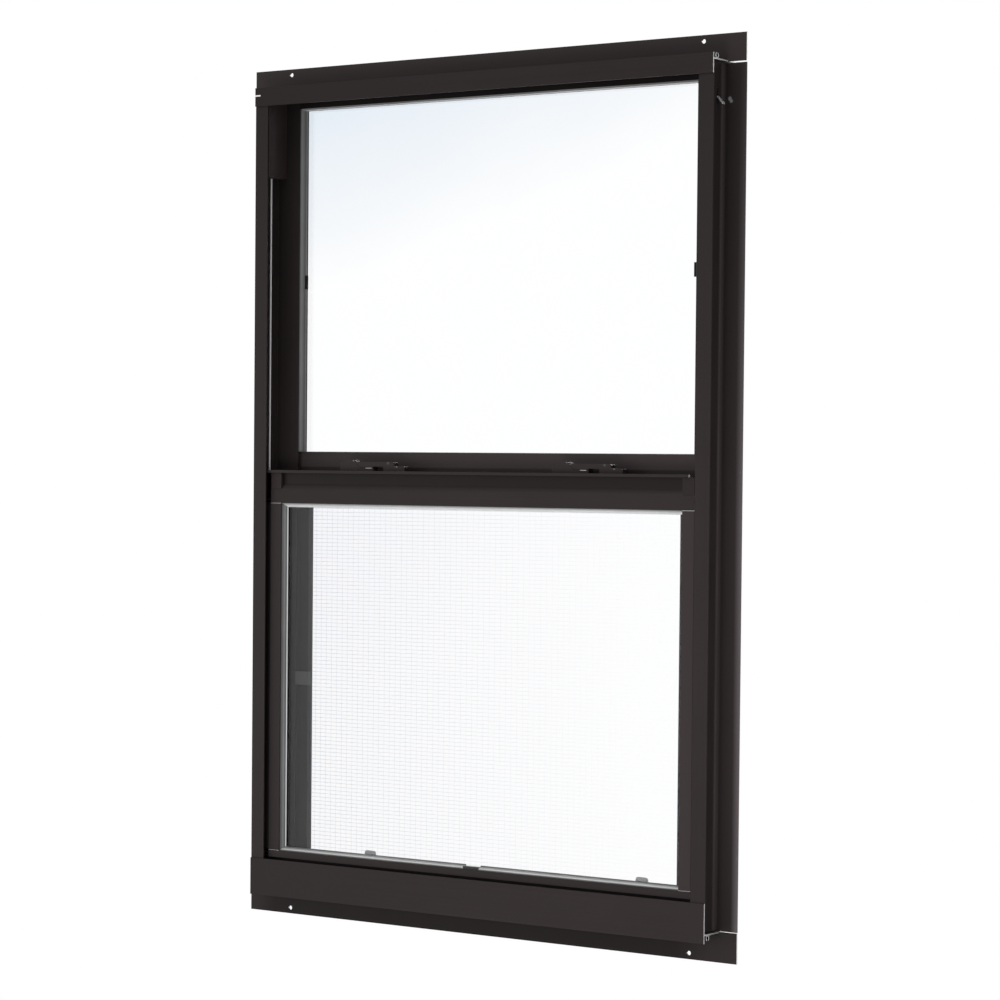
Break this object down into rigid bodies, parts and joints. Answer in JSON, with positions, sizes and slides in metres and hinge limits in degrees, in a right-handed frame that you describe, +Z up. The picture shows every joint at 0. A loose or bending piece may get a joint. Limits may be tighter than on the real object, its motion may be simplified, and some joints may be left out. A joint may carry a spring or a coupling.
{
  "type": "single hung window",
  "caption": "Aluminium single hung window with nail fin: fixed upper pane, sliding lower sash with latches, outside insect screen.",
  "frame": {"origin": "on the indoor face of the sill nail fin, mid width, half way up the free strip of the fin", "axes": "+X right seen from indoors, +Y outdoors, +Z up"},
  "size_m": [0.6478, 0.0465, 0.9525],
  "materials": {
    "bead": "pale grey vinyl",
    "clip": "dark moulded plastic",
    "cord": "white braided cord",
    "frame": "dark bronze baked finish",
    "glass": "clear float glass",
    "guide": "dark moulded plastic",
    "latch": "dark bronze painted casting",
    "mesh": "grey coated glass-fibre mesh",
    "pull_tab": "grey moulded plastic",
    "sash": "dark bronze baked finish",
    "screen_clip": "grey moulded plastic",
    "screen_frame": "bronze painted roll-formed strip",
    "track_stop": "dark moulded plastic"
  },
  "bodies": {
    "root": {"bottom_fixed_bead": "bead", "bottom_sash_bead": "bead", "fixed_glass": "glass", "fixed_meeting_rail": "frame", "frame_head": "frame", "frame_sill": "frame", "left_balance_cord": "cord", "left_fixed_bead": "bead", "left_fixed_clip": "clip", "left_jamb": "frame", "left_latch_base": "latch", "left_latch_lever": "latch", "left_pull_tab": "pull_tab", "left_sash_bead": "bead", "left_sash_guide": "guide", "left_sash_stile": "sash", "left_screen_rail": "screen_frame", "left_track_stop": "track_stop", "right_balance_cord": "cord", "right_fixed_bead": "bead", "right_fixed_clip": "clip", "right_jamb": "frame", "right_latch_base": "latch", "right_latch_lever": "latch", "right_pull_tab": "pull_tab", "right_sash_bead": "bead", "right_sash_guide": "guide", "right_sash_stile": "sash", "right_screen_rail": "screen_frame", "right_track_stop": "track_stop", "sash_bottom_rail": "sash", "sash_clip": "clip", "sash_glass": "glass", "sash_top_rail": "sash", "screen_bottom_rail": "screen_frame", "screen_clip": "screen_clip", "screen_mesh": "mesh", "screen_top_rail": "screen_frame", "top_fixed_bead": "bead", "top_sash_bead": "bead"}
  },
  "joints": []
}
